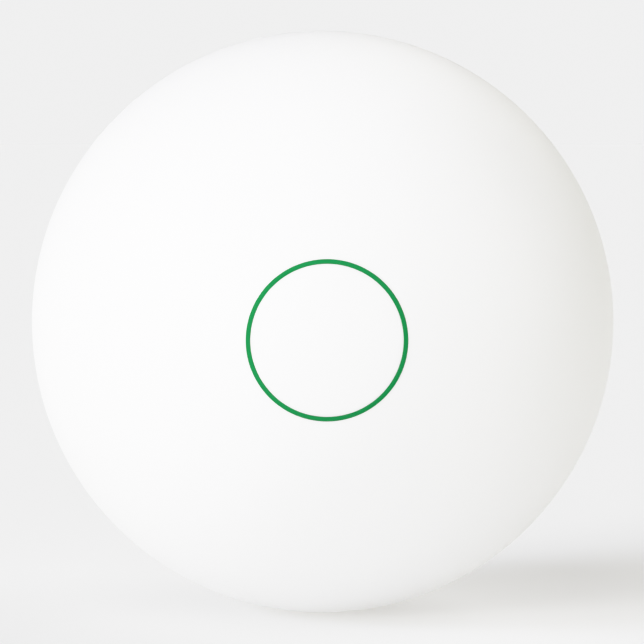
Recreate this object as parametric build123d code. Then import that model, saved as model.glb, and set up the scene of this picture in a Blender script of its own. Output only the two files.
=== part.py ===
from build123d import *
from math import asin, cos, degrees, radians, sin, sqrt
import os

# A seamed table tennis ball, 40 mm across: two moulded cups, the bond between them and a printed ring.
#
# Sizes are in millimetres and angles in degrees. The origin is the ball's centre and +Z is up. The Y axis
# runs through both poles: the printed pole is at -Y, and the seam lies in the plane y = 0.
# Every piece is a turned shape, so each one is drawn as half a cross-section, with x as the distance from
# the Y axis, and then turned once around that axis.

# The ball
BALL_DIAMETER = 40.0
WALL = 0.50  # everywhere except the band beside the seam
PLASTIC_DENSITY = 1.06  # grams per cubic centimetre, moulded ABS

# The lap joint at the seam: the rear cup's spigot goes inside the front cup's skirt
SEAM_WALL = 0.70  # skirt, bond and spigot together
LAP_LENGTH = 1.00
BOND_THICKNESS = 0.04
RIM_ROUND = 0.03  # broken outer edge of each rim, which leaves the fine line seen at the seam

# The bead that the bond leaves inside, where it is squeezed out of the lap
BEAD_HEIGHT = 0.12
BEAD_MARGIN = 0.22  # how far the bead spreads over each cup beside the gap

# The printed ring, around the printed pole
PRINT_DIAMETER = 10.0  # across the middle of the line, measured straight
LINE_WIDTH = 0.31  # along the ball's surface
INK_THICKNESS = 0.02

# Worked out from the sizes above
OUTER_RADIUS = BALL_DIAMETER / 2
INNER_RADIUS = OUTER_RADIUS - WALL
BAND_RADIUS = OUTER_RADIUS - SEAM_WALL  # inside of the thicker band
LIP_THICKNESS = (SEAM_WALL - BOND_THICKNESS) / 2
SKIRT_RADIUS = OUTER_RADIUS - LIP_THICKNESS  # inside of the front cup's skirt
SPIGOT_RADIUS = BAND_RADIUS + LIP_THICKNESS  # outside of the rear cup's spigot
BAND_HALF_LENGTH = sqrt(INNER_RADIUS**2 - BAND_RADIUS**2)  # where the band runs out into the wall
RIM_Y = BOND_THICKNESS / 2  # each rim stands back from the seam plane by half a bond
SPIGOT_END_Y = -LAP_LENGTH
LAP_FLOOR_Y = SPIGOT_END_Y - BOND_THICKNESS  # the step inside the front cup that the spigot faces


def on_sphere(radius, y):
    """The point of a sphere's cross-section at the height y."""
    return (sqrt(radius**2 - y**2), y)


def meridian(radius, y_start, y_end):
    """The arc of a sphere's cross-section from one height to another."""
    start = degrees(asin(y_start / radius))
    end = degrees(asin(y_end / radius))
    return CenterArc((0, 0), radius, start, end - start)


def turned(profile):
    """A solid of revolution around the Y axis."""
    return revolve(profile, Axis.Y)


def cup_profile(side, rim_y, joint_points):
    """Half the cross-section of a cup, with side -1 for the front cup and 1 for the rear one.

    The outside runs from the pole to rim_y, joint_points carry on across the rim to the band, and the
    inside runs along the band and back to the pole.
    """
    rim_point = on_sphere(OUTER_RADIUS, rim_y)
    band_end_y = side * BAND_HALF_LENGTH
    outline = [
        meridian(OUTER_RADIUS, side * OUTER_RADIUS, rim_y),
        Polyline(rim_point, *joint_points, (BAND_RADIUS, band_end_y)),
        meridian(INNER_RADIUS, band_end_y, side * INNER_RADIUS),
        Line((0, side * INNER_RADIUS), (0, side * OUTER_RADIUS)),
    ]
    profile = make_face(outline)
    rim_corner = profile.vertices().sort_by_distance(rim_point)[0]
    return fillet(rim_corner, RIM_ROUND)


def front_half_shell():
    """The printed cup, whose rim is a thin skirt around the other cup's spigot."""
    joint_points = [
        (SKIRT_RADIUS, -RIM_Y),
        (SKIRT_RADIUS, LAP_FLOOR_Y),
        (BAND_RADIUS, LAP_FLOOR_Y),
    ]
    return turned(cup_profile(-1, -RIM_Y, joint_points))


def rear_half_shell():
    """The plain cup, with a shoulder at the rim and a spigot that reaches into the other cup."""
    joint_points = [
        (SPIGOT_RADIUS, RIM_Y),
        (SPIGOT_RADIUS, SPIGOT_END_Y),
        (BAND_RADIUS, SPIGOT_END_Y),
    ]
    return turned(cup_profile(1, RIM_Y, joint_points))


def seam_adhesive():
    """The film of cement that fills the lap joint, with the bead that it leaves inside the ball."""
    film_edge = OUTER_RADIUS - RIM_ROUND
    bead_rear_y = SPIGOT_END_Y + BEAD_MARGIN
    bead_front_y = LAP_FLOOR_Y - BEAD_MARGIN
    bead_crown = (BAND_RADIUS - BEAD_HEIGHT, (SPIGOT_END_Y + LAP_FLOOR_Y) / 2)
    outline = [
        Polyline(
            (BAND_RADIUS, bead_front_y),
            (BAND_RADIUS, LAP_FLOOR_Y),
            (SKIRT_RADIUS, LAP_FLOOR_Y),
            (SKIRT_RADIUS, -RIM_Y),
            (film_edge, -RIM_Y),
            (film_edge, RIM_Y),
            (SPIGOT_RADIUS, RIM_Y),
            (SPIGOT_RADIUS, SPIGOT_END_Y),
            (BAND_RADIUS, SPIGOT_END_Y),
            (BAND_RADIUS, bead_rear_y),
        ),
        ThreePointArc((BAND_RADIUS, bead_rear_y), bead_crown, (BAND_RADIUS, bead_front_y)),
    ]
    return turned(make_face(outline))


def printed_ring():
    """The ink film of the ring, lying on the front cup around its pole."""
    middle = degrees(asin(PRINT_DIAMETER / 2 / OUTER_RADIUS))  # from the pole
    half_width = degrees(LINE_WIDTH / 2 / OUTER_RADIUS)
    ink_radius = OUTER_RADIUS + INK_THICKNESS

    def at(radius, angle_from_pole):
        angle = radians(angle_from_pole)
        return (radius * sin(angle), -radius * cos(angle))

    inner_edge = middle - half_width
    outer_edge = middle + half_width
    outline = [
        CenterArc((0, 0), OUTER_RADIUS, inner_edge - 90, 2 * half_width),
        Line(at(OUTER_RADIUS, outer_edge), at(ink_radius, outer_edge)),
        CenterArc((0, 0), ink_radius, inner_edge - 90, 2 * half_width),
        Line(at(ink_radius, inner_edge), at(OUTER_RADIUS, inner_edge)),
    ]
    return turned(make_face(outline))


def main():
    pieces = {
        "front_half_shell": front_half_shell(),
        "rear_half_shell": rear_half_shell(),
        "seam_adhesive": seam_adhesive(),
        "printed_ring": printed_ring(),
    }
    os.makedirs("parts", exist_ok=True)
    for name, piece in pieces.items():
        export_step(piece, f"parts/{name}.step")
    volume = sum(piece.volume for piece in pieces.values())
    print(f"plastic {volume:.1f} mm3, about {volume / 1000 * PLASTIC_DENSITY:.3f} g in all")


main()
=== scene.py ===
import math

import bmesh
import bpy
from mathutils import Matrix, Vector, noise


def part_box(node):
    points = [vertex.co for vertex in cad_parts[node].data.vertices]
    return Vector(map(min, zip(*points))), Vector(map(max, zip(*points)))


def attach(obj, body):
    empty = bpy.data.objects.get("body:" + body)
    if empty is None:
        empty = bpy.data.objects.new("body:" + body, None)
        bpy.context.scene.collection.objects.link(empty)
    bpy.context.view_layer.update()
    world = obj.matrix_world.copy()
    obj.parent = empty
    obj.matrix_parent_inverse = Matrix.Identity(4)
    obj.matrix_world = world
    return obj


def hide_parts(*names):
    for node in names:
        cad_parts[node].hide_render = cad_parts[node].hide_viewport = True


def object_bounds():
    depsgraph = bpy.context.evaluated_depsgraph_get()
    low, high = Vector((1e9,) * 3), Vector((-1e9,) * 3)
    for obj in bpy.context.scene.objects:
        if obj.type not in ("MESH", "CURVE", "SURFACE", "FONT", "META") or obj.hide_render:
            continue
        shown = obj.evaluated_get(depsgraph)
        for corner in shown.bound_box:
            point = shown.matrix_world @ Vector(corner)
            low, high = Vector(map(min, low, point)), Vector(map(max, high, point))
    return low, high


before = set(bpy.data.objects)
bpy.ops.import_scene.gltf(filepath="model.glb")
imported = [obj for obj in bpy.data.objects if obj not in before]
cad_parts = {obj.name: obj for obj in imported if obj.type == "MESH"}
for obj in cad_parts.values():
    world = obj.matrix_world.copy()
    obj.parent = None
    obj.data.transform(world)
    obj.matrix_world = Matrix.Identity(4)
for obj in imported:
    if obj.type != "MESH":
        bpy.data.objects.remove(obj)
cad_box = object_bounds()

# The looks of the table tennis ball, in metres, in the CAD model's frame: the ball's centre is the origin,
# the printed pole is at -Y, the seam lies in the plane y = 0 and +Z is up.
# Each of the four CAD nodes is replaced by a finer mesh of the same sizes, with rounded lips, an uneven
# bead of cement and a soft-edged film of ink.

MM = 0.001

# How fine the meshes are
DOME_DIVISIONS = 96  # quads along one side of the cube that a dome is blown up from
SEGMENTS = 4 * DOME_DIVISIONS  # quads around the Y axis, the same on domes and rings
LONGEST_STEP = 0.30 * MM  # between two points of a cross-section
CORNER_STEPS = 4
BEAD_STEPS = 14
INK_STEPS = 14
SHARP_ANGLE = math.radians(40)  # a steeper crease is drawn as an edge
WELD_SHARE = 0.01  # points nearer to each other than this share of a lip's rounding are one point

# What is uneven on the real ball: the squeezed-out bead and the edges of the print
BEAD_UNEVENNESS = 0.5  # share of the bead's size
BEAD_PATCHES = 9.0  # the higher, the shorter the bead's thick and thin stretches
INK_RAGGEDNESS = 0.006 * MM  # how far an edge of the line strays
INK_PATCHES = 60.0
INK_OUTER_LAYER = 5.0  # the outer edge takes its noise from another layer, so the two edges differ
INK_EDGE_SHARE = 0.3  # share of the line's width over which the film thins out
INK_UNDERLAP = 0.004 * MM  # how far the film reaches into the plastic, so that no gap shows

# The camera
CAMERA_DISTANCE = 11.5  # from the ball's centre, in radii of the ball
CAMERA_AZIMUTH = math.radians(-0.81)
CAMERA_ELEVATION = math.radians(3.52)
AIM = Vector((-0.0024, 0, -0.0012))  # from the ball's centre to the point aimed at, in radii
LENS_MM = 186.2
SENSOR_MM = 36.0

# The stage, in linear light before the tone curve. The ball is lit brighter than the floor, so each has
# lamps of its own. What the floor's lamps send back and its glow add up to the backdrop's brightness, so
# that no horizon shows.
BACKDROP = 0.947
BACKDROP_TOP = math.radians(4)  # the backdrop ends this far above the horizon, and all above it is dark
FLOOR_ALBEDO = 0.3
FLOOR_GLOW = (0.503, 0.497, 0.481)  # as of a backlit table, which keeps the contact shade faint
FLOOR_HALF_SIZE = 4.0
WHITE = (1.0, 1.0, 1.0)
COOL = (0.90, 0.90, 1.0)
COLD = (0.81, 0.86, 1.0)
WARM = (1.0, 0.98, 0.86)
BALL_LAMPS = {  # azimuth, elevation and width in degrees, strength and colour
    "key": (-70, 28, 25, 1.95, WHITE),
    "low_fill": (-30, 5, 40, 3.15, WHITE),
    "spot": (-30, 55, 20, 0.8, COOL),
    "top": (0, 85, 60, 0.6, COOL),
    "right_fill": (75, 25, 40, 1.22, WARM),
    "back_light": (150, 38, 40, 0.66, WARM),
}
FLOOR_LAMPS = {
    "floor_key": (-40, 42, 60, 2.02, WHITE),
    "floor_low": (-50, 5, 20, 9.9, WHITE),
    "floor_left": (-70, 20, 20, 3.51, COLD),
    "floor_back": (120, 30, 60, 2.77, WHITE),
}

# The tone curve: straight up to the shoulder, then ever closer to full white
SHOULDER = 0.7
BRIGHTEST = 3.0  # the brightest light that the curve tells apart
CURVE_POINTS = 16


def from_axis(point):
    """How far a point is from the Y axis."""
    return math.hypot(point.x, point.z)


def corners_of(node):
    """The corner points of a CAD node's mesh."""
    return [vertex.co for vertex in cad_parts[node].data.vertices]


# The sizes of the cups, the lap joint and its bead, read from the CAD nodes
front_low, front_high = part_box("front_half_shell")
glue_low, glue_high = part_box("seam_adhesive")
spigot_points = [p for p in corners_of("rear_half_shell") if p.y < 0]
OUTER_RADIUS = -front_low.y
RIM_Y = -front_high.y  # each rim's distance from the seam plane
LAP_END_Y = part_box("rear_half_shell")[0].y  # the end of the rear cup's spigot
LAP_FLOOR_Y = LAP_END_Y - 2 * RIM_Y  # the step inside the front cup, one bond further
LIP_ROUND = OUTER_RADIUS - glue_high.x
LIP_REACH = 2 * LIP_ROUND  # how far a cross-section runs on past a rounded corner
INNER_RADIUS = min(-p.y for p in corners_of("front_half_shell") if from_axis(p) < LIP_ROUND)
BAND_RADIUS = min(from_axis(p) for p in spigot_points)
SPIGOT_RADIUS = max(from_axis(p) for p in spigot_points)
SKIRT_RADIUS = min(from_axis(p) for p in corners_of("front_half_shell") if p.y > LAP_END_Y)
BAND_END_Y = math.sqrt(INNER_RADIUS**2 - BAND_RADIUS**2)  # where the thicker band runs out into the wall
BEAD_MARGIN = LAP_FLOOR_Y - glue_low.y
BEAD_HEIGHT = BAND_RADIUS - min(from_axis(p) for p in corners_of("seam_adhesive"))

# The printed line, as angles from the printed pole
ink_low, ink_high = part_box("printed_ring")
INK_OUTER_EDGE = math.acos(-ink_high.y / OUTER_RADIUS)
INK_RADIUS = ink_high.x / math.sin(INK_OUTER_EDGE)
INK_INNER_EDGE = math.acos(-ink_low.y / INK_RADIUS)
INK_THICKNESS = INK_RADIUS - OUTER_RADIUS


# Meshes

def rounded(points, radius):
    """A cross-section's path, with an arc at each corner and no two points far apart."""
    path = [Vector(points[0])]
    for before, corner, after in zip(points, points[1:], points[2:]):
        corner = Vector(corner)
        back = Vector(before) - corner
        on = Vector(after) - corner
        reach = min(radius, back.length / 2, on.length / 2)
        start = corner + back.normalized() * reach
        end = corner + on.normalized() * reach
        for step in range(CORNER_STEPS + 1):
            t = step / CORNER_STEPS
            path.append(start * (1 - t) ** 2 + corner * 2 * t * (1 - t) + end * t**2)
    path.append(Vector(points[-1]))
    divided = []
    for start, end in zip(path, path[1:]):
        count = math.ceil((end - start).length / LONGEST_STEP)
        divided += [start.lerp(end, i / count) for i in range(count)]
    return divided + [path[-1]]


def around(radius, y, longitude):
    """The point at that distance from the Y axis and that height along it."""
    return Vector((radius * math.cos(longitude), y, radius * math.sin(longitude)))


def unevenness(longitude, patches, layer=0.0):
    """A smooth value between -1 and 1 that changes along a circle, and is the same in every run."""
    return noise.noise(around(patches, layer, longitude))


def add_ring(bm, section, closed):
    """Turns a cross-section around the Y axis, where section gives its points at a longitude."""
    longitudes = [2 * math.pi * i / SEGMENTS for i in range(SEGMENTS)]
    rows = []
    for longitude in longitudes:
        points = [around(radius, y, longitude) for radius, y in section(longitude)]
        rows.append([bm.verts.new(point) for point in points])
    for row, next_row in zip(rows, rows[1:] + rows[:1]):
        pairs = list(zip(row, next_row))
        ends = pairs[1:] + pairs[:1] if closed else pairs[1:]
        for (a, b), (d, c) in zip(pairs, ends):
            bm.faces.new((a, b, c, d))


def add_dome(bm, radius, side, edge_angle):
    """Adds the part of a sphere within edge_angle of the pole on that side.

    It is half a cube of quads blown up, so nothing is pinched at the pole, and its edge has SEGMENTS
    evenly spaced vertices.
    """
    cube = bmesh.new()
    bmesh.ops.create_cube(cube, size=2.0)
    bmesh.ops.subdivide_edges(cube, edges=cube.edges, cuts=DOME_DIVISIONS - 1, use_grid_fill=True)
    other_half = [v for v in cube.verts if v.co.y * side < -1 / DOME_DIVISIONS]
    bmesh.ops.delete(cube, geom=other_half, context="VERTS")
    placed = {}
    for vertex in cube.verts:
        direction = Vector([math.tan(c * math.pi / 4) for c in vertex.co]).normalized()
        from_pole = Vector((0, side, 0)).angle(direction) * edge_angle / math.radians(90)
        longitude = math.atan2(direction.z, direction.x)
        point = around(radius * math.sin(from_pole), side * radius * math.cos(from_pole), longitude)
        placed[vertex] = bm.verts.new(point)
    for face in cube.faces:
        bm.faces.new([placed[vertex] for vertex in face.verts])
    cube.free()


def finish_piece(bm, name, material):
    """Makes the mesh a smooth piece that rides on the ball, in place of the CAD node of that name."""
    bmesh.ops.remove_doubles(bm, verts=bm.verts, dist=LIP_ROUND * WELD_SHARE)
    bmesh.ops.recalc_face_normals(bm, faces=bm.faces)
    mesh = bpy.data.meshes.new(name)
    bm.to_mesh(mesh)
    bm.free()
    mesh.shade_smooth()
    mesh.set_sharp_from_angle(angle=SHARP_ANGLE)
    mesh.materials.append(material)
    piece = bpy.data.objects.new(name + ".skin", mesh)
    bpy.context.scene.collection.objects.link(piece)
    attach(piece, "root")
    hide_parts(name)
    return piece


def make_cup(name, side, lap_radius, lap_end_y, material):
    """A half shell: an outer and an inner dome, and the lip between them with its side of the joint."""
    edge_y = RIM_Y + LIP_REACH
    edge_radius = math.sqrt(OUTER_RADIUS**2 - edge_y**2)
    lip = rounded(
        [
            (edge_radius, side * edge_y),
            (OUTER_RADIUS, side * RIM_Y),
            (lap_radius, side * RIM_Y),
            (lap_radius, lap_end_y),
            (BAND_RADIUS, lap_end_y),
            (BAND_RADIUS, side * BAND_END_Y),
        ],
        LIP_ROUND,
    )
    bm = bmesh.new()
    add_dome(bm, OUTER_RADIUS, side, math.acos(edge_y / OUTER_RADIUS))
    add_dome(bm, INNER_RADIUS, side, math.acos(BAND_END_Y / INNER_RADIUS))
    add_ring(bm, lambda longitude: lip, closed=False)
    return finish_piece(bm, name, material)


def make_cement(material):
    """The film in the lap joint, and the bead squeezed out of it, thick in places and thin in others."""
    film = rounded(
        [
            (BAND_RADIUS, LAP_FLOOR_Y - LIP_REACH),
            (BAND_RADIUS, LAP_FLOOR_Y),
            (SKIRT_RADIUS, LAP_FLOOR_Y),
            (SKIRT_RADIUS, -RIM_Y),
            (glue_high.x, -RIM_Y),
            (glue_high.x, RIM_Y),
            (SPIGOT_RADIUS, RIM_Y),
            (SPIGOT_RADIUS, LAP_END_Y),
            (BAND_RADIUS, LAP_END_Y),
            (BAND_RADIUS, LAP_END_Y + LIP_REACH),
        ],
        LIP_ROUND,
    )

    def section(longitude):
        size = 1 + BEAD_UNEVENNESS * unevenness(longitude, BEAD_PATCHES)
        rear_y = LAP_END_Y + BEAD_MARGIN * size
        front_y = LAP_FLOOR_Y - BEAD_MARGIN * size
        bead = []
        for step in range(BEAD_STEPS + 1):
            t = step / BEAD_STEPS
            fullness = 4 * t * (1 - t)  # a parabola, 1 in the middle of the bead
            height = BEAD_HEIGHT * size * fullness
            bead.append((BAND_RADIUS - height, rear_y + (front_y - rear_y) * t))
        return film + bead

    bm = bmesh.new()
    add_ring(bm, section, closed=True)
    return finish_piece(bm, "seam_adhesive", material)


def make_print(material):
    """The ring's film of ink, full in the middle of the line and thin at its slightly ragged edges."""

    def at(radius, from_pole):
        return (radius * math.sin(from_pole), -radius * math.cos(from_pole))

    def section(longitude):
        stray = INK_RAGGEDNESS / OUTER_RADIUS
        inner = INK_INNER_EDGE + stray * unevenness(longitude, INK_PATCHES)
        outer = INK_OUTER_EDGE + stray * unevenness(longitude, INK_PATCHES, INK_OUTER_LAYER)
        points = []
        for step in range(INK_STEPS + 1):
            across = (1 - math.cos(math.pi * step / INK_STEPS)) / 2
            fullness = min(1.0, min(across, 1 - across) / INK_EDGE_SHARE)
            height = INK_THICKNESS * math.sqrt(1 - (1 - fullness) ** 2)
            points.append(at(OUTER_RADIUS + height, inner + (outer - inner) * across))
        points.append(at(OUTER_RADIUS - INK_UNDERLAP, outer))
        points.append(at(OUTER_RADIUS - INK_UNDERLAP, inner))
        return points

    bm = bmesh.new()
    add_ring(bm, section, closed=True)
    return finish_piece(bm, "printed_ring", material)


# Materials

NOISE_LOW = 0.3  # nearly all of a noise pattern lies between these two values
NOISE_HIGH = 0.7


class Nodes:
    """A new material's node tree, with short calls for the nodes used here."""

    def __init__(self, name):
        self.material = bpy.data.materials.new(name)
        self.material.use_nodes = True
        self.tree = self.material.node_tree
        self.shader = self.tree.nodes["Principled BSDF"]
        self.place = self.tree.nodes.new("ShaderNodeTexCoord").outputs["Object"]

    def link(self, output, target):
        self.tree.links.new(output, target)

    def noise(self, patch_size, detail=2.0, roughness=0.5):
        """A noise from 0 to 1 whose patches are about that many metres across."""
        node = self.tree.nodes.new("ShaderNodeTexNoise")
        node.inputs["Scale"].default_value = 1 / patch_size
        node.inputs["Detail"].default_value = detail
        node.inputs["Roughness"].default_value = roughness
        self.link(self.place, node.inputs["Vector"])
        return node.outputs["Fac"]

    def mapped(self, pattern, low, high):
        """A value between low and high that follows the pattern."""
        node = self.tree.nodes.new("ShaderNodeMapRange")
        node.interpolation_type = "SMOOTHSTEP"
        node.inputs["From Min"].default_value = NOISE_LOW
        node.inputs["From Max"].default_value = NOISE_HIGH
        node.inputs["To Min"].default_value = low
        node.inputs["To Max"].default_value = high
        self.link(pattern, node.inputs["Value"])
        return node.outputs["Result"]

    def mixed(self, share, one, other):
        """A colour between one and other, by share."""
        node = self.tree.nodes.new("ShaderNodeMix")
        node.data_type = "RGBA"
        node.inputs["A"].default_value = (*one, 1)
        node.inputs["B"].default_value = (*other, 1)
        self.link(share, node.inputs["Factor"])
        return node.outputs["Result"]

    def bump(self, height, depth, under=None):
        """A bump of that depth in metres, on top of the normal that under gives."""
        node = self.tree.nodes.new("ShaderNodeBump")
        node.inputs["Strength"].default_value = 1.0
        node.inputs["Distance"].default_value = depth
        self.link(height, node.inputs["Height"])
        if under:
            self.link(under, node.inputs["Normal"])
        return node.outputs["Normal"]

    def set(self, **values):
        for name, value in values.items():
            self.shader.inputs[name.replace("_", " ")].default_value = value


def shell_plastic():
    """Matt white moulded ABS, tumbled to a fine frosting, into which light seeps a short way."""
    nodes = Nodes("shell_plastic")
    cloud = nodes.noise(patch_size=6 * MM, detail=3.0)
    white = nodes.mixed(cloud, (0.866, 0.866, 0.866), (0.852, 0.852, 0.850))
    nodes.link(white, nodes.shader.inputs["Base Color"])
    grain = nodes.noise(patch_size=0.2 * MM, detail=3.0, roughness=0.6)
    nodes.link(nodes.mapped(grain, low=0.48, high=0.62), nodes.shader.inputs["Roughness"])
    swells = nodes.bump(nodes.noise(patch_size=3 * MM), depth=0.002 * MM)
    nodes.link(nodes.bump(grain, depth=0.003 * MM, under=swells), nodes.shader.inputs["Normal"])
    nodes.set(Subsurface_Weight=1.0, Subsurface_Scale=0.3 * MM, Subsurface_Radius=(1.0, 1.0, 1.0))
    return nodes.material


def ring_ink():
    """Green pad-print ink, nearly matt, very slightly thicker in some places than in others."""
    nodes = Nodes("ring_ink")
    mottle = nodes.noise(patch_size=0.35 * MM, detail=3.0)
    green = nodes.mixed(mottle, (0.0070, 0.201, 0.050), (0.0092, 0.220, 0.060))
    nodes.link(green, nodes.shader.inputs["Base Color"])
    skin = nodes.noise(patch_size=0.08 * MM)
    nodes.link(nodes.mapped(skin, low=0.55, high=0.68), nodes.shader.inputs["Roughness"])
    nodes.link(nodes.bump(skin, depth=0.001 * MM), nodes.shader.inputs["Normal"])
    nodes.set(Specular_IOR_Level=0.05)
    return nodes.material


def adhesive():
    """Cement that has set clear and slightly amber, with cloudy places."""
    nodes = Nodes("adhesive")
    cloud = nodes.noise(patch_size=0.8 * MM, detail=4.0)
    amber = nodes.mixed(cloud, (0.80, 0.76, 0.66), (0.84, 0.82, 0.76))
    nodes.link(amber, nodes.shader.inputs["Base Color"])
    nodes.link(nodes.mapped(cloud, low=0.25, high=0.4), nodes.shader.inputs["Roughness"])
    ripples = nodes.noise(patch_size=0.3 * MM)
    nodes.link(nodes.bump(ripples, depth=0.004 * MM), nodes.shader.inputs["Normal"])
    return nodes.material


def floor_card():
    """Pale matt card, lit from below as well."""
    nodes = Nodes("floor_card")
    grey = (FLOOR_ALBEDO, FLOOR_ALBEDO, FLOOR_ALBEDO, 1)
    nodes.set(Base_Color=grey, Roughness=1.0, Specular_IOR_Level=0.0)
    nodes.set(Emission_Color=(*FLOOR_GLOW, 1), Emission_Strength=1.0)
    return nodes.material


# Stage, lights and camera

def direction(azimuth, elevation):
    """The unit vector towards that azimuth, where 0 is in front of the ball at -Y and 90 at +X."""
    level = math.cos(elevation)
    return Vector((math.sin(azimuth) * level, -math.cos(azimuth) * level, math.sin(elevation)))


def make_floor():
    mesh = bpy.data.meshes.new("floor")
    half = FLOOR_HALF_SIZE
    floor_z = cad_box[0].z
    corners = [(x, y, floor_z) for x, y in ((-half, -half), (half, -half), (half, half), (-half, half))]
    mesh.from_pydata(corners, [], [(0, 1, 2, 3)])
    mesh.materials.append(floor_card())
    floor = bpy.data.objects.new("floor", mesh)
    bpy.context.scene.collection.objects.link(floor)
    return floor


def make_sky():
    """A backdrop all around, as bright as the floor, under a dark ceiling."""
    world = bpy.data.worlds.new("sky")
    world.use_nodes = True
    nodes = world.node_tree.nodes
    place = nodes.new("ShaderNodeTexCoord")
    height = nodes.new("ShaderNodeSeparateXYZ")
    shade = nodes.new("ShaderNodeMath")
    shade.operation = "LESS_THAN"
    shade.inputs[1].default_value = math.sin(BACKDROP_TOP)
    world.node_tree.links.new(place.outputs["Generated"], height.inputs["Vector"])
    world.node_tree.links.new(height.outputs["Z"], shade.inputs[0])
    world.node_tree.links.new(shade.outputs["Value"], nodes["Background"].inputs["Strength"])
    nodes["Background"].inputs["Color"].default_value = (BACKDROP, BACKDROP, BACKDROP, 1)
    bpy.context.scene.world = world


def make_lamp(name, azimuth, elevation, width, strength, colour):
    """A softbox so far away that its light reaches every place from the same side."""
    light = bpy.data.lights.new(name, "SUN")
    light.angle = math.radians(width)
    light.energy = strength
    light.color = colour
    lamp = bpy.data.objects.new(name, light)
    lamp.rotation_mode = "QUATERNION"
    towards = direction(math.radians(azimuth), math.radians(elevation))
    lamp.rotation_quaternion = towards.to_track_quat("Z", "Y")
    bpy.context.scene.collection.objects.link(lamp)
    return lamp


def make_lamps(lamps, lit):
    """Softboxes that light only those objects, though anything may stand in their light."""
    receivers = bpy.data.collections.new("lit")
    for thing in lit:
        receivers.objects.link(thing)
    for name, settings in lamps.items():
        make_lamp(name, *settings).light_linking.receiver_collection = receivers


def make_camera():
    centre = (cad_box[0] + cad_box[1]) / 2
    back = direction(CAMERA_AZIMUTH, CAMERA_ELEVATION)
    camera = bpy.data.objects.new("camera", bpy.data.cameras.new("camera"))
    camera.data.lens = LENS_MM
    camera.data.sensor_width = SENSOR_MM
    camera.data.clip_start = OUTER_RADIUS
    camera.data.clip_end = 3 * FLOOR_HALF_SIZE
    camera.location = centre + back * CAMERA_DISTANCE * OUTER_RADIUS
    sight = centre + AIM * OUTER_RADIUS - camera.location
    camera.rotation_mode = "QUATERNION"
    camera.rotation_quaternion = sight.to_track_quat("-Z", "Y")
    bpy.context.scene.collection.objects.link(camera)
    bpy.context.scene.camera = camera


def toned(light):
    """How bright the tone curve shows a linear light."""
    room = 1 - SHOULDER
    return light if light < SHOULDER else SHOULDER + room * (1 - math.exp((SHOULDER - light) / room))


def set_tone_curve():
    """Rolls the highlights off towards white, as a camera does."""
    settings = bpy.context.scene.view_settings
    settings.view_transform = "Standard"
    settings.use_curve_mapping = True
    mapping = settings.curve_mapping
    mapping.use_clip = False
    red, green, blue, _ = mapping.curves
    for curve in (red, green, blue):
        curve.points[-1].location = (BRIGHTEST, toned(BRIGHTEST))
        for step in range(1, CURVE_POINTS):
            light = BRIGHTEST * step / CURVE_POINTS
            curve.points.new(light, toned(light))
    mapping.update()


def main():
    plastic = shell_plastic()
    ball = [
        make_cup("front_half_shell", -1, SKIRT_RADIUS, LAP_FLOOR_Y, plastic),
        make_cup("rear_half_shell", 1, SPIGOT_RADIUS, LAP_END_Y, plastic),
        make_cement(adhesive()),
        make_print(ring_ink()),
    ]
    make_lamps(BALL_LAMPS, ball)
    make_lamps(FLOOR_LAMPS, [make_floor()])
    make_sky()
    make_camera()
    set_tone_curve()


main()
